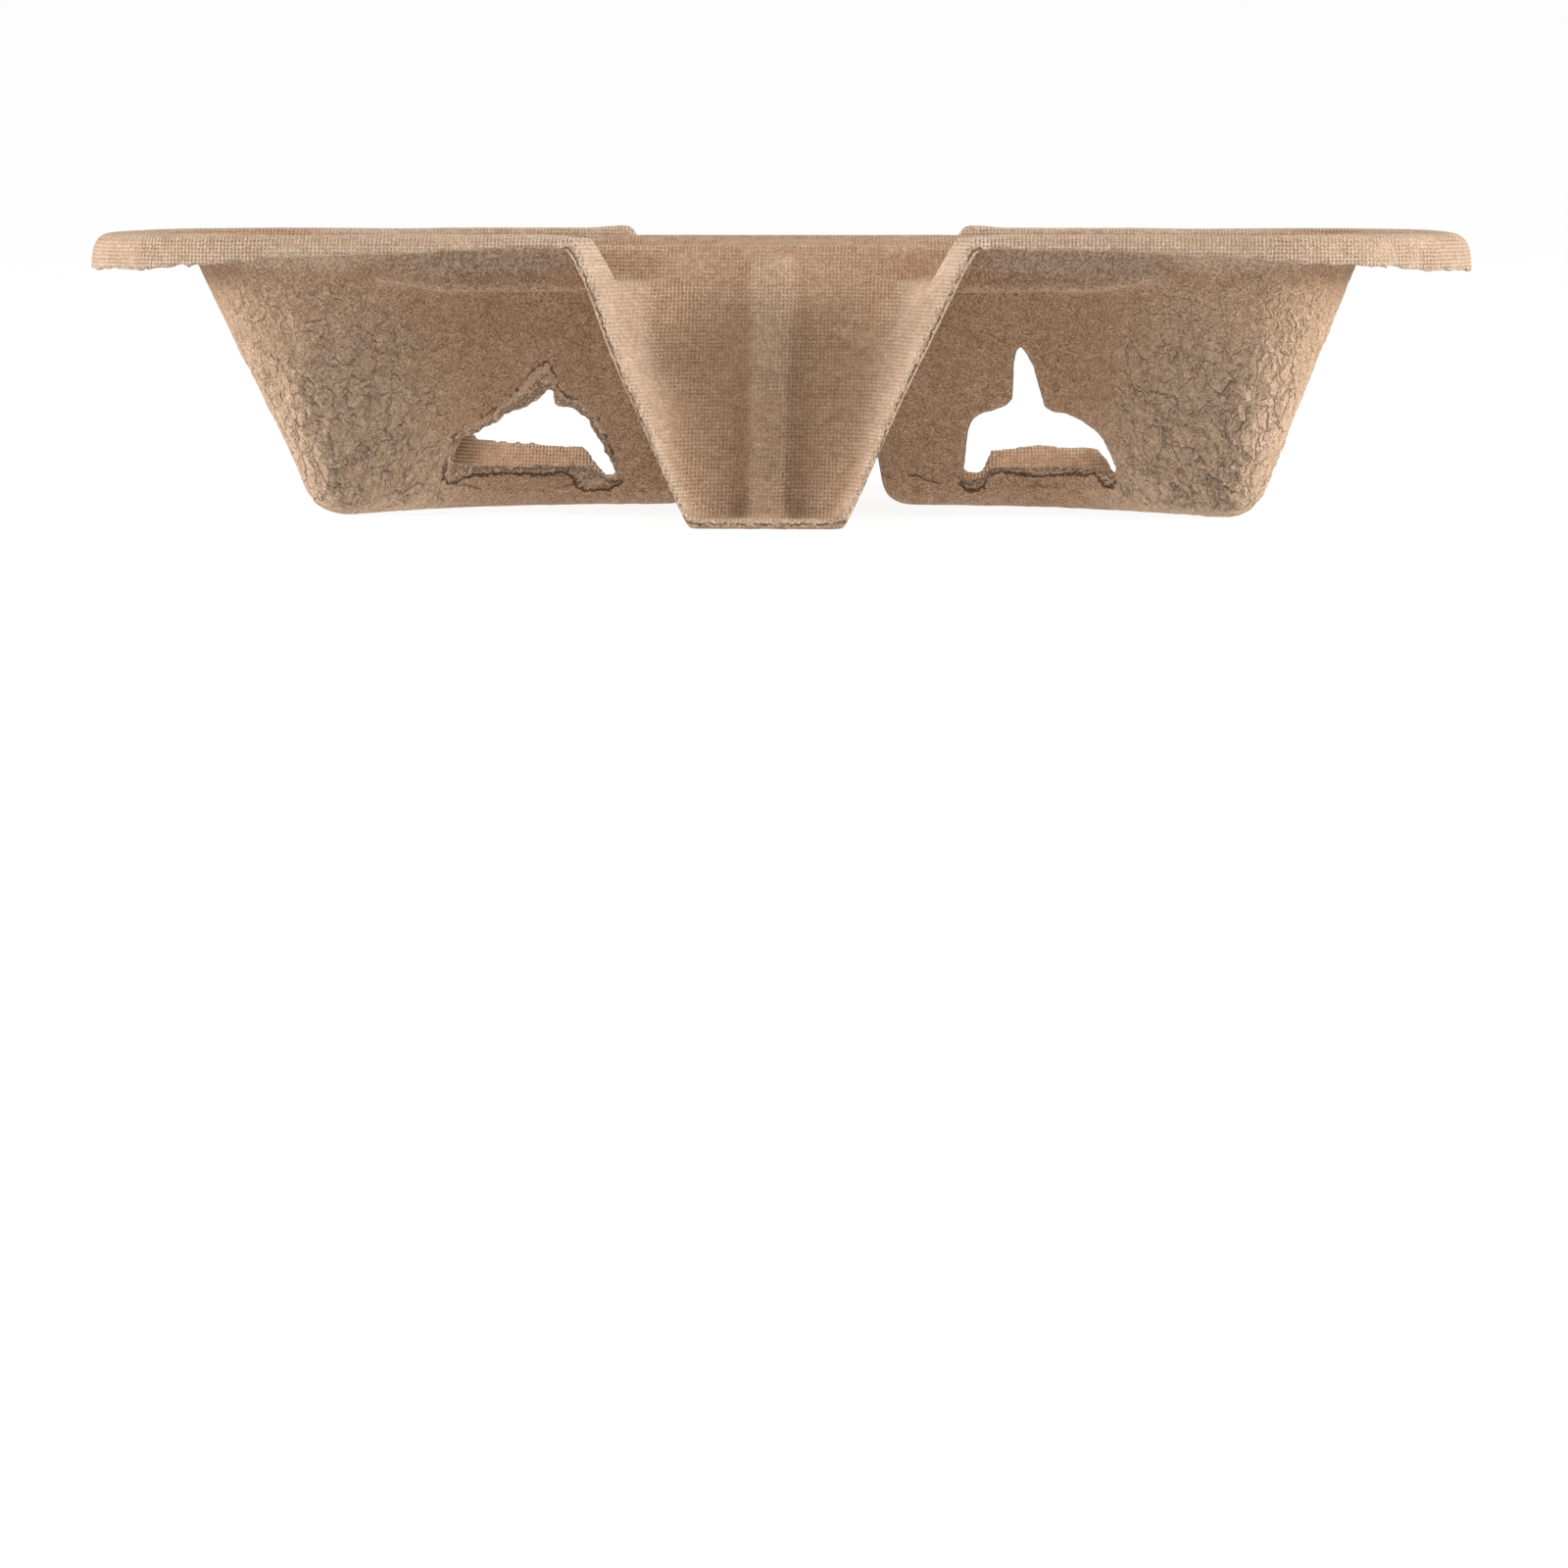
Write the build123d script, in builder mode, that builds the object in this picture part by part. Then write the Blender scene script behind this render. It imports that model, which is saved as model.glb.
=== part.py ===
from build123d import *
import os

# Moulded pulp carrier for two cups: one thin sheet, pressed in one mould.
# X runs along the carrier, -Y is the front, Z is up, and the pockets open
# upwards.  The sheet lies between two mould faces.  Everything below the upper
# face is one solid, everything below the underside is another, and the carrier
# is the difference between them, trimmed and slit as the real one is.

# ---------------------------------------------------------------- dimensions
sheet = 1.6              # thickness of the pulp
rim_top = 43.3           # crest of the rim
half_l = 107.5           # half the length at the lower edge of the rim
half_w = 53.95           # half the width at the lower edge of the rim
corner_r = 35.0          # corner of the rim, seen from above
end_r = 300.0            # slight bow of the two ends
rim_draft = 0.9          # how far the rim leans in, from lower edge to crest
rim_round = 2.4          # outer edge of the crest
rim_width = 6.6          # raised band of the rim
land_z = 42.0            # level just inside the rim
skirt_low = 31.0         # the turned-down edge before it is trimmed

pocket_top_z = 46.0      # the pocket walls are drawn on past the rim
pocket_ref_z = 41.3      # level of the upper outline below
wall_shift_top = 1.75    # outline of the underside, outside the inner one
wall_shift_low = 1.05
pocket_round = 2.4       # bevel round the pocket floor, on the inside
pocket_bevel = 3.0       # and on the underside
shoulder_z = 39.2        # above this the walls round over on to the land
shoulder = (1.3, 4.2)    # how far, at the land and at the top of the room

shelf_z = 36.2           # four sunk shelves beside the flaps
shelf_in = 34.3
shelf_out = 47.6
shelf_near = 19.4
shelf_far = 58.0

foot_y = 55.0            # flap panel meets its foot
foot_end = 59.4          # outer edge of the foot
flap_top_y = 33.25       # flap panel at rim height
flap_low_w = 11.3        # half width of the panel at the foot
flap_top_w = 20.6        # and at rim height
cheek_y = 66.0           # where the two cheeks are measured
cheek_low = 11.7
cheek_top = 36.4
flap_lean = 0.130        # slope of the trimmed side edges
panel_rib_w = 3.4        # half width of the upright rib on the panel
panel_rib_h = 0.8

# half outline of the left pocket (front half, end to bridge), upper and lower
upper_half = [(-83, 0), (-83.9, -6), (-85.6, -12.5), (-87.3, -22), (-87.8, -30),
              (-86.3, -38), (-82.6, -43.6), (-77, -47), (-70, -48),
              (-62.5, -47.6), (-56.2, -45.4), (-48.8, -40.2), (-42.4, -36.6),
              (-36.3, -34.6), (-28, -32.2), (-20, -28), (-14, -21.5),
              (-11.5, -14.5), (-11.1, -7), (-11.1, 0)]
lower_half = [(-66.9, 0), (-67.1, -5), (-67.8, -10.5), (-70.0, -19),
              (-72.2, -25.5), (-72.3, -29.5), (-70.8, -32.0), (-68.7, -32.7),
              (-66.4, -31.6), (-64, -29.4), (-60.3, -26), (-55.7, -22),
              (-50.8, -17.6), (-46, -14), (-36, -9.5), (-26, -7.1),
              (-19.2, -6.1), (-16.6, -4.7), (-15.7, -2.6), (-15.6, 0)]

# upper face of the bridge between the pockets: (Y, Z), from the middle outwards
saddle = [(0, 41.6), (7, 41.6), (10.5, 39.9), (18, 39.9), (20.5, 38.0),
          (25, 38.0), (31, 41.0), (34.3, 41.8), (36.5, 41.8)]

# relief slits through the inward bulges of the pockets, as seen from below
slits = {
    "front_left": [(-54.4, -26.4), (-49.4, -25.9), (-44.7, -24.5), (-40.6, -22.0),
                   (-39.7, -23.2), (-37.0, -23.3), (-35.8, -22.1), (-36.4, -19.3),
                   (-31.6, -16.3), (-27.8, -13.6), (-27.5, -11.9), (-28.4, -10.9),
                   (-33.6, -11.6), (-38.9, -13.6), (-44.5, -16.8), (-49.2, -20.4),
                   (-52.7, -23.9)],
    "back_left": [(-51.7, 25.5), (-50.3, 22.3), (-47.9, 19.6), (-43.8, 16.8),
                  (-37.8, 14.1), (-31.2, 12.4), (-27.8, 12.0), (-25.9, 13.3),
                  (-25.7, 16.3), (-27.0, 18.1), (-33.7, 20.1), (-35.0, 21.7),
                  (-36.0, 23.4), (-37.7, 23.2), (-40.3, 22.3), (-43.3, 23.1),
                  (-48.0, 25.9), (-50.8, 26.1)],
    "end_left": [(-77.0, -15.3), (-74.8, -13.2), (-72.6, -9.8), (-71.7, -8.1),
                 (-71.3, 3.7), (-71.3, 11.1), (-73.2, 15.0), (-75.7, 17.3),
                 (-76.6, 16.7), (-77.9, 10.7), (-78.2, 3.9), (-79.9, 2.0),
                 (-80.5, 0.1), (-78.8, -2.4), (-78.3, -3.0), (-78.1, -10.1),
                 (-78.3, -12.9)],
    "front_right": [(27.9, -14.9), (30.1, -17.0), (35.4, -20.1), (35.7, -21.6),
                    (35.2, -23.3), (36.5, -25.1), (38.6, -25.8), (39.9, -24.8),
                    (41.6, -22.6), (45.8, -25.7), (50.1, -28.5), (52.1, -29.7),
                    (53.9, -29.4), (54.9, -27.3), (54.2, -25.5), (51.7, -22.4),
                    (47.6, -18.9), (41.5, -15.1), (35.2, -12.1), (30.5, -11.0),
                    (28.3, -11.4), (27.6, -13.2)],
    "back_right": [(29.5, 14.2), (30.0, 12.7), (32.0, 12.2), (35.4, 13.7),
                   (41.0, 16.5), (46.5, 19.8), (51.3, 23.6), (55.3, 28.3),
                   (54.6, 29.5), (52.6, 29.4), (48.4, 25.8), (45.0, 23.0),
                   (42.3, 22.7), (41.5, 24.0), (39.9, 24.6), (37.4, 23.9),
                   (36.3, 21.5), (36.7, 18.9), (33.8, 17.5), (31.0, 16.0)],
    "end_right": [(75.3, -14.5), (78.5, -12.9), (78.8, -8.0), (78.6, -1.8),
                  (81.9, -1.0), (82.2, 2.9), (77.8, 3.5), (79.4, 11.0),
                  (79.2, 15.2), (76.2, 16.6), (73.8, 15.2), (72.0, 7.0),
                  (71.4, -1.3), (71.9, -8.1), (73.0, -12.2)],
}

# lower edge of the rim, trimmed: (X, Z) on one half
trim_half = [(33.0, 41.3), (45.0, 40.9), (60.0, 40.3), (72.0, 39.8),
             (85.0, 38.8), (96.0, 37.9), (112.0, 37.7)]


# ------------------------------------------------------------ plane geometry
def rim_path(inset):
    """Rim outline, parallel to the outer one: (start, middle, end) of each run."""
    ecx = half_l - end_r                        # centre of the end's bow
    ccy = half_w - corner_r                     # centre of the corner
    ccx = ecx + ((end_r - corner_r) ** 2 - ccy ** 2) ** 0.5
    ux, uy = (ccx - ecx) / (end_r - corner_r), ccy / (end_r - corner_r)
    r, big, w = corner_r - inset, end_r - inset, half_w - inset
    tan = (ecx + big * ux, big * uy)            # corner meets the bowed end
    mx, my = ux, uy + 1.0
    m = (mx * mx + my * my) ** 0.5
    mid = (ccx + r * mx / m, ccy + r * my / m)
    quad = [((ccx, w), mid, tan)]
    runs = []
    runs.append(((-ccx, w), None, (ccx, w)))
    runs.append(quad[0])
    runs.append((tan, (ecx + big, 0.0), (tan[0], -tan[1])))
    runs.append(((tan[0], -tan[1]), (mid[0], -mid[1]), (ccx, -w)))
    runs.append(((ccx, -w), None, (-ccx, -w)))
    runs.append(((-ccx, -w), (-mid[0], -mid[1]), (-tan[0], -tan[1])))
    runs.append(((-tan[0], -tan[1]), (-ecx - big, 0.0), (-tan[0], tan[1])))
    runs.append(((-tan[0], tan[1]), (-mid[0], mid[1]), (-ccx, w)))
    return runs


def closed(half):
    """Both halves of a pocket outline."""
    return list(half) + [(x, -y) for x, y in half[-2:0:-1]]


def grown(points, amount):
    """The same closed outline, moved outwards."""
    out = []
    n = len(points)
    area = sum(points[i][0] * points[(i + 1) % n][1]
               - points[(i + 1) % n][0] * points[i][1] for i in range(n))
    sign = 1.0 if area > 0 else -1.0
    for i in range(n):
        ax, ay = points[i - 1]
        bx, by = points[(i + 1) % n]
        tx, ty = bx - ax, by - ay
        ln = (tx * tx + ty * ty) ** 0.5
        out.append((points[i][0] + sign * amount * ty / ln,
                    points[i][1] - sign * amount * tx / ln))
    return out


def lowered(points, amount):
    """An open (Y, Z) line, moved down square to itself."""
    out = []
    for i in range(len(points)):
        ay, az = points[max(i - 1, 0)]
        by, bz = points[min(i + 1, len(points) - 1)]
        ty, tz = by - ay, bz - az
        ln = (ty * ty + tz * tz) ** 0.5
        out.append((points[i][0] + amount * tz / ln, points[i][1] - amount * ty / ln))
    return out


upper_full = closed(upper_half)
lower_full = closed(lower_half)
stretch = (pocket_top_z - sheet) / (pocket_ref_z - sheet)
upper_full = [(lx + (ux - lx) * stretch, ly + (uy - ly) * stretch)
              for (ux, uy), (lx, ly) in zip(upper_full, lower_full)]


def pocket_section(z, under):
    """Outline of a pocket at height z, on the inside or on the underside."""
    if under:
        a, b = grown(lower_full, wall_shift_low), grown(upper_full, wall_shift_top)
        f = z / pocket_top_z
    else:
        a, b = lower_full, upper_full
        f = (z - sheet) / (pocket_top_z - sheet)
    return [(ax + (bx - ax) * f, ay + (by - ay) * f) for (ax, ay), (bx, by) in zip(a, b)]


# ------------------------------------------------------------- a pocket's room
def pocket_room(under):
    """Room in the left pocket, down to its floor."""
    z0 = 0.0 if under else sheet
    bevel = pocket_bevel if under else pocket_round
    with BuildPart() as room:
        with BuildSketch(Plane.XY.offset(z0)):
            with BuildLine():
                Spline(*grown(pocket_section(z0, under), -bevel * 0.62), periodic=True)
            make_face()
        with BuildSketch(Plane.XY.offset(z0 + bevel * 0.30)):
            with BuildLine():
                Spline(*grown(pocket_section(z0 + bevel * 0.30, under), -bevel * 0.20),
                       periodic=True)
            make_face()
        with BuildSketch(Plane.XY.offset(z0 + bevel)):
            with BuildLine():
                Spline(*pocket_section(z0 + bevel, under), periodic=True)
            make_face()
        with BuildSketch(Plane.XY.offset(shoulder_z + z0 - sheet)):
            with BuildLine():
                Spline(*pocket_section(shoulder_z + z0 - sheet, under), periodic=True)
            make_face()
        with BuildSketch(Plane.XY.offset(land_z + z0 - sheet)):
            with BuildLine():
                Spline(*grown(pocket_section(land_z + z0 - sheet, under), shoulder[0]),
                       periodic=True)
            make_face()
        with BuildSketch(Plane.XY.offset(pocket_top_z)):
            with BuildLine():
                Spline(*grown(pocket_section(pocket_top_z, under), shoulder[1]),
                       periodic=True)
            make_face()
        loft(ruled=True)
    return room.part


# ---------------------------------------------------------- a flap's outer room
def flap_room(under):
    """Room outside the front flap, down to its foot."""
    rise = pocket_top_z - sheet
    high = rim_top - sheet
    f = rise / high
    y_low, y_top = foot_y, foot_y + (flap_top_y - foot_y) * f
    w_low, w_top = flap_low_w, flap_low_w + (flap_top_w - flap_low_w) * f
    c_low, c_top = cheek_low, cheek_low + (cheek_top - cheek_low) * f
    z0 = sheet
    if under:
        z0 = 0.0
        w_low, w_top = w_low + 0.9, w_top + 1.06
        c_low, c_top = c_low + 1.17, c_top + 1.93
        y_low, y_top = y_low - 0.97, y_top - 1.81
    with BuildPart() as room:
        with BuildSketch(Plane.XY.offset(z0)):
            with BuildLine():
                Polyline((-w_low, -y_low), (w_low, -y_low), (c_low, -cheek_y),
                         (-c_low, -cheek_y), close=True)
            make_face()
        with BuildSketch(Plane.XY.offset(pocket_top_z)):
            with BuildLine():
                Polyline((-w_top, -y_top), (w_top, -y_top), (c_top, -cheek_y),
                         (-c_top, -cheek_y), close=True)
            make_face()
        loft(ruled=True)
        # the upright rib on the panel takes a little of this room
        rib_w = panel_rib_w - (1.1 if under else 0.0)
        rib_top = 40.6 - (0.8 if under else 0.0)
        lean = (y_low - y_top) / (pocket_top_z - z0)
        with BuildSketch(Plane.YZ.offset(-rib_w)):
            with BuildLine():
                Polyline((-y_low - panel_rib_h, z0), (-y_low + 4.0, z0),
                         (-y_low + lean * (rib_top - z0) + 4.0, rib_top),
                         (-y_low + lean * (rib_top - z0), rib_top),
                         (-y_low + lean * (rib_top - 2.0 - z0) - panel_rib_h, rib_top - 2.0),
                         close=True)
            make_face()
        extrude(amount=2 * rib_w, mode=Mode.SUBTRACT)
    return room.part


inner_room = pocket_room(False)
outer_room = pocket_room(True)
flap_room_out = flap_room(False)
flap_room_in = flap_room(True)


# --------------------------------------------- everything below a mould face
def below(under):
    d = sheet if under else 0.0
    crest = rim_top - d
    low = skirt_low - (1.0 if under else 0.0)
    lean = rim_draft / 6.0
    rnd = rim_round - (1.5 if under else 0.0)
    pocket = outer_room if under else inner_room
    flap = flap_room_in if under else flap_room_out
    with BuildPart() as body:
        # the rim, leaning in towards its crest
        with BuildSketch(Plane.XY.offset(low)):
            with BuildLine():
                for a, m, b in rim_path(d + (low - 37.7) * lean):
                    if m is None:
                        Line(a, b)
                    else:
                        ThreePointArc(a, m, b)
            make_face()
        with BuildSketch(Plane.XY.offset(crest)):
            with BuildLine():
                for a, m, b in rim_path(d + (crest - 37.7) * lean):
                    if m is None:
                        Line(a, b)
                    else:
                        ThreePointArc(a, m, b)
            make_face()
        loft(ruled=True)
        fillet(body.faces().sort_by(Axis.Z)[-1].edges(), radius=rnd)
        # the body of the tray under the rim
        with BuildSketch(Plane.XY.offset(-10.0 - d)):
            with BuildLine():
                for a, m, b in rim_path(5.0 - d):
                    if m is None:
                        Line(a, b)
                    else:
                        ThreePointArc(a, m, b)
            make_face()
        extrude(amount=skirt_low + 4.0 + 10.0 + d)
        # blocks that the two flaps are cut from
        with BuildSketch(Plane.XY.offset(-10.0 - d)):
            Rectangle(64.0 + 2 * d, 124.0 + 2 * d)
        extrude(amount=crest + 10.0 + d)
        # inside of the rim's band
        with BuildSketch(Plane.XY.offset(land_z - d)):
            with BuildLine():
                for a, m, b in rim_path(rim_width + 0.9 - d):
                    if m is None:
                        Line(a, b)
                    else:
                        ThreePointArc(a, m, b)
            make_face()
        extrude(amount=10.0, mode=Mode.SUBTRACT)
        # the two pockets
        add(pocket, mode=Mode.SUBTRACT)
        add(pocket.mirror(Plane.YZ), mode=Mode.SUBTRACT)
        # the four shelves
        with BuildSketch(Plane.XY.offset(shelf_z - d)):
            for sx in (-1, 1):
                for sy in (-1, 1):
                    with Locations((sx * (shelf_near + shelf_far) / 2,
                                    sy * (shelf_in + shelf_out) / 2)):
                        Rectangle(shelf_far - shelf_near + 2 * d,
                                  shelf_out - shelf_in + 2 * d)
        extrude(amount=12.0, mode=Mode.SUBTRACT)
        # the bridge between the pockets
        line = lowered([(-y, z) for y, z in saddle[:0:-1]] + saddle, d)
        with BuildSketch(Plane.YZ.offset(-46.0)):
            with BuildLine():
                Polyline(*line, (line[-1][0], 52.0), (line[0][0], 52.0), close=True)
            make_face()
        extrude(amount=92.0, mode=Mode.SUBTRACT)
        # the room outside the two flaps
        add(flap, mode=Mode.SUBTRACT)
        add(flap.mirror(Plane.XZ), mode=Mode.SUBTRACT)
    return body.part


upper = below(False)
under_side = below(True)

# ------------------------------------------------------------------ carrier
with BuildPart() as carrier:
    add(upper)
    add(under_side, mode=Mode.SUBTRACT)
    # trim the turned-down edge of the rim
    for side in (-1, 1):
        profile = [(side * x, z) for x, z in trim_half]
        with BuildSketch(Plane.XZ.offset(-80.0)):
            with BuildLine():
                Polyline(*profile, (side * 112.0, -20.0), (side * 33.0, -20.0), close=True)
            make_face()
        trim_slab = extrude(amount=160.0, mode=Mode.PRIVATE)
        with BuildSketch(Plane.XY.offset(-20.0), mode=Mode.PRIVATE) as core:
            with BuildLine():
                for a, m, b in rim_path(4.6):
                    if m is None:
                        Line(a, b)
                    else:
                        ThreePointArc(a, m, b)
            make_face()
        keep = extrude(core.sketch, amount=70.0, mode=Mode.PRIVATE)
        add(trim_slab - keep, mode=Mode.SUBTRACT)
    # trim the flaps and the rim's notches along one leaning cut on each side
    for side in (-1, 1):
        with BuildSketch(Plane.YZ.offset(-33.0)):
            with BuildLine():
                Polyline((side * foot_end, 0.0),
                         (side * (foot_end - flap_lean * 48.0), 48.0),
                         (side * 90.0, 48.0), (side * 90.0, -20.0),
                         (side * foot_end, -20.0), close=True)
            make_face()
        extrude(amount=66.0, mode=Mode.SUBTRACT)
    # the torn relief slits
    for outline in slits.values():
        with BuildSketch(Plane.XY.offset(2.2)):
            with BuildLine():
                Polyline(*outline, close=True)
            make_face()
        extrude(amount=30.0, mode=Mode.SUBTRACT)

carrier.part.label = "carrier"

os.makedirs("parts", exist_ok=True)
export_step(carrier.part, "parts/carrier.step")
bb = carrier.part.bounding_box()
print("size", [round(v, 2) for v in (bb.size.X, bb.size.Y, bb.size.Z)],
      "low", [round(v, 2) for v in (bb.min.X, bb.min.Y, bb.min.Z)],
      "volume cm3", round(carrier.part.volume / 1000.0, 2),
      "solids", len(carrier.part.solids()), "valid", carrier.part.is_valid)
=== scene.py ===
import bpy
import math
import numpy as np
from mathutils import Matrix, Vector


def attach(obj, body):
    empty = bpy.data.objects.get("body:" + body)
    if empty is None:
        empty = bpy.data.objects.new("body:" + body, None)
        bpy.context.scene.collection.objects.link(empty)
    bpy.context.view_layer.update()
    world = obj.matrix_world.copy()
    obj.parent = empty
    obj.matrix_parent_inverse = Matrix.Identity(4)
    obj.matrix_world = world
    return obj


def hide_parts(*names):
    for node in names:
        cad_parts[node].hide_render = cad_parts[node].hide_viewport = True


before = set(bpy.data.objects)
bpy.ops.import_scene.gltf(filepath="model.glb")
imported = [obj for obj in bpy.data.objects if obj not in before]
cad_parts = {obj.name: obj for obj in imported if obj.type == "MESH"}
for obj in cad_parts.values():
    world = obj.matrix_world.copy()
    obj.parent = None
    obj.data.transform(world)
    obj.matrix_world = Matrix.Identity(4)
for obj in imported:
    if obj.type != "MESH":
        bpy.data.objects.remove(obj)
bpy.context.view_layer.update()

# Moulded pulp carrier for two cups.  The sheet is built as one closed mesh from
# a solid field: P is the (signed, rounded) distance to the upper mould face, and
# the pulp lies between P = 0, the screen side, and P = -SHEET, the felt side.
# All lengths below are millimetres; the mesh is scaled to metres at the end.

# ------------------------------------------------------------------ dimensions
SHEET = 1.6
RIM_TOP = 43.3
HALF_L, HALF_W, CORNER_R, END_R = 107.5, 53.95, 35.0, 300.0
LAND_Z, LAND_IN = 42.0, 7.5
REF_Z = 41.3
SHELF_Z = 36.2
FOOT_Y, FOOT_END, FLAP_TOP_Y = 55.0, 59.4, 33.25
FLAP_LOW_W, FLAP_TOP_W = 11.3, 20.6
CHEEK_Y, CHEEK_LOW, CHEEK_TOP = 66.0, 11.7, 36.4
FLAP_LEAN = 0.130

UPPER = [(83, 0), (83.9, 6), (85.6, 12.5), (87.3, 22), (87.8, 30), (86.3, 38),
         (82.6, 43.6), (77, 47), (70, 48), (62.5, 47.6), (56.2, 45.4),
         (48.8, 39.6), (42.4, 35.6), (36.3, 33.2), (28, 30.8), (20, 27.0),
         (14, 21.0), (11.5, 14.5), (11.1, 7), (11.1, 0)]
LOWER = [(66.9, 0), (67.1, 5), (67.8, 10.5), (70.0, 19), (72.2, 25.5),
         (72.3, 29.5), (70.8, 32.0), (68.7, 32.7), (66.4, 31.6), (64, 29.4),
         (60.3, 26), (55.7, 22), (50.8, 17.6), (46, 14), (36, 9.5), (26, 7.1),
         (19.2, 6.1), (16.6, 4.7), (15.7, 2.6), (15.6, 0)]
SADDLE = [(0, 42.0), (7, 42.0), (10.5, 40.2), (18, 40.2), (20.5, 38.4),
          (25, 38.4), (30.5, 41.8), (33.0, 42.35), (40.0, 42.35)]
TRIM = [(33.0, 41.3), (45.0, 40.9), (60.0, 40.3), (72.0, 39.8), (85.0, 38.8),
        (96.0, 37.9), (112.0, 37.7)]
# relief slits.  The four long ones as (X, Z) on the wall: the opening through the
# sheet, and the wider tear in its outer ply.  The end ones as (X, Y) from below.
SLIT_FR = [(27.4, 5.0), (28.0, 7.2), (28.5, 10.4), (29.0, 12.7), (29.8, 14.3), (31.1, 15.1),
           (33.4, 15.7), (35.4, 16.6), (36.3, 17.6), (36.5, 19.9), (36.6, 23.0), (36.8, 24.6),
           (37.4, 26.0), (38.4, 24.9), (39.5, 22.8), (40.2, 20.3), (40.8, 18.2), (41.3, 16.5),
           (42.5, 15.7), (44.5, 15.5), (47.0, 14.4), (49.3, 12.8), (50.5, 11.3), (51.5, 9.2),
           (52.4, 6.9), (52.0, 6.0), (51.0, 6.7), (49.9, 7.1), (40.3, 6.9), (32.6, 6.7),
           (31.6, 5.8), (30.8, 5.0), (29.6, 4.7), (28.3, 4.7)]
TEAR_FR = SLIT_FR[:25] + [(52.4, 5.2), (51.6, 4.0), (50.3, 4.6), (49.6, 5.9), (46.3, 6.0),
                          (40.3, 5.4), (35.7, 5.8), (33.4, 6.0), (31.9, 5.2), (31.1, 3.4),
                          (29.5, 2.7), (27.9, 2.7), (27.2, 4.0)]
SLIT_FL = [(-50.4, 7.6), (-50.0, 9.9), (-48.9, 11.5), (-46.5, 12.4), (-45.6, 12.8),
           (-44.4, 13.7), (-42.6, 14.7), (-40.3, 15.8), (-38.5, 16.1), (-37.1, 17.3),
           (-35.7, 18.8), (-35.2, 17.9), (-34.7, 16.6), (-33.2, 16.3), (-31.8, 15.3),
           (-30.1, 13.6), (-29.4, 12.6), (-29.0, 11.2), (-28.0, 10.2), (-27.8, 8.6),
           (-26.5, 6.7), (-25.9, 4.6), (-27.5, 4.3), (-28.7, 5.3), (-29.8, 6.6),
           (-31.9, 6.8), (-48.1, 6.9)]
TEAR_FL = [(-51.6, 7.0), (-50.7, 10.0), (-49.6, 12.3), (-47.7, 13.5), (-45.9, 14.3),
           (-43.9, 15.9), (-41.6, 17.8), (-40.1, 19.4), (-38.5, 21.1), (-37.0, 22.6),
           (-35.4, 23.7), (-34.8, 21.9), (-34.1, 19.3), (-32.8, 17.9), (-29.9, 16.4),
           (-28.4, 14.3), (-27.3, 11.8), (-26.7, 9.4), (-25.9, 7.0), (-25.1, 4.1),
           (-26.9, 2.9), (-30.7, 2.6), (-31.9, 3.0), (-32.8, 4.9), (-33.5, 5.7),
           (-38.0, 5.4), (-43.9, 5.7), (-47.5, 5.6), (-49.6, 5.0), (-51.1, 4.4), (-52.2, 5.2)]
SLIT_BL = [(-52.4, 9.8), (-51.8, 9.0), (-50.5, 8.9), (-33.3, 8.3), (-31.3, 6.0), (-29.4, 3.9),
           (-27.8, 4.2), (-26.2, 6.5), (-25.3, 11.0), (-25.6, 16.2), (-27.0, 18.6),
           (-33.8, 18.4), (-35.1, 21.0), (-36.1, 23.0), (-37.8, 21.8), (-40.4, 18.8),
           (-43.4, 17.2), (-48.1, 16.8), (-51.4, 13.0)]
SLIT_BR = [(27.0, 6.0), (28.0, 4.4), (30.6, 4.6), (32.5, 7.9), (40.4, 8.6), (50.5, 7.8),
           (53.1, 3.9), (55.2, 6.5), (56.0, 10.0), (54.6, 14.2), (52.6, 16.8), (48.4, 16.6),
           (45.0, 16.2), (42.4, 17.6), (41.9, 20.5), (40.7, 24.4), (37.6, 25.8), (36.0, 23.8),
           (35.4, 18.8), (33.6, 16.6), (31.0, 16.0), (28.4, 14.0)]
WALL_SLITS = (("front_left", -1, SLIT_FL, TEAR_FL, 1.0), ("front_right", -1, SLIT_FR, TEAR_FR, 0.10),
              ("back_left", 1, SLIT_BL, None, 0.55), ("back_right", 1, SLIT_BR, None, 0.35))
END_SLITS = (
    ("end_left", [(-77.0, -15.3), (-74.8, -13.2), (-72.6, -9.8), (-71.7, -8.1),
                  (-71.3, 3.7), (-71.3, 11.1), (-73.2, 15.0), (-75.7, 17.3),
                  (-76.6, 16.7), (-77.9, 10.7), (-78.2, 3.9), (-79.9, 2.0),
                  (-80.5, 0.1), (-78.8, -2.4), (-78.3, -3.0), (-78.1, -10.1),
                  (-78.3, -12.9)]),
    ("end_right", [(75.3, -14.5), (78.5, -12.9), (78.8, -8.0), (78.6, -1.8),
                   (81.9, -1.0), (82.2, 2.9), (77.8, 3.5), (79.4, 11.0),
                   (79.2, 15.2), (76.2, 16.6), (73.8, 15.2), (72.0, 7.0),
                   (71.4, -1.3), (71.9, -8.1), (73.0, -12.2)]),
)


# ------------------------------------------------------------------------ noise
def lattice(ix, iy, iz, seed):
    h = (ix * 374761393 + iy * 668265263 + iz * 1440662683 + seed * 362437) & 0xFFFFFFFF
    h = ((h ^ (h >> 13)) * 1274126177) & 0xFFFFFFFF
    h = h ^ (h >> 16)
    return (h & 0xFFFF) / 32767.5 - 1.0


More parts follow.
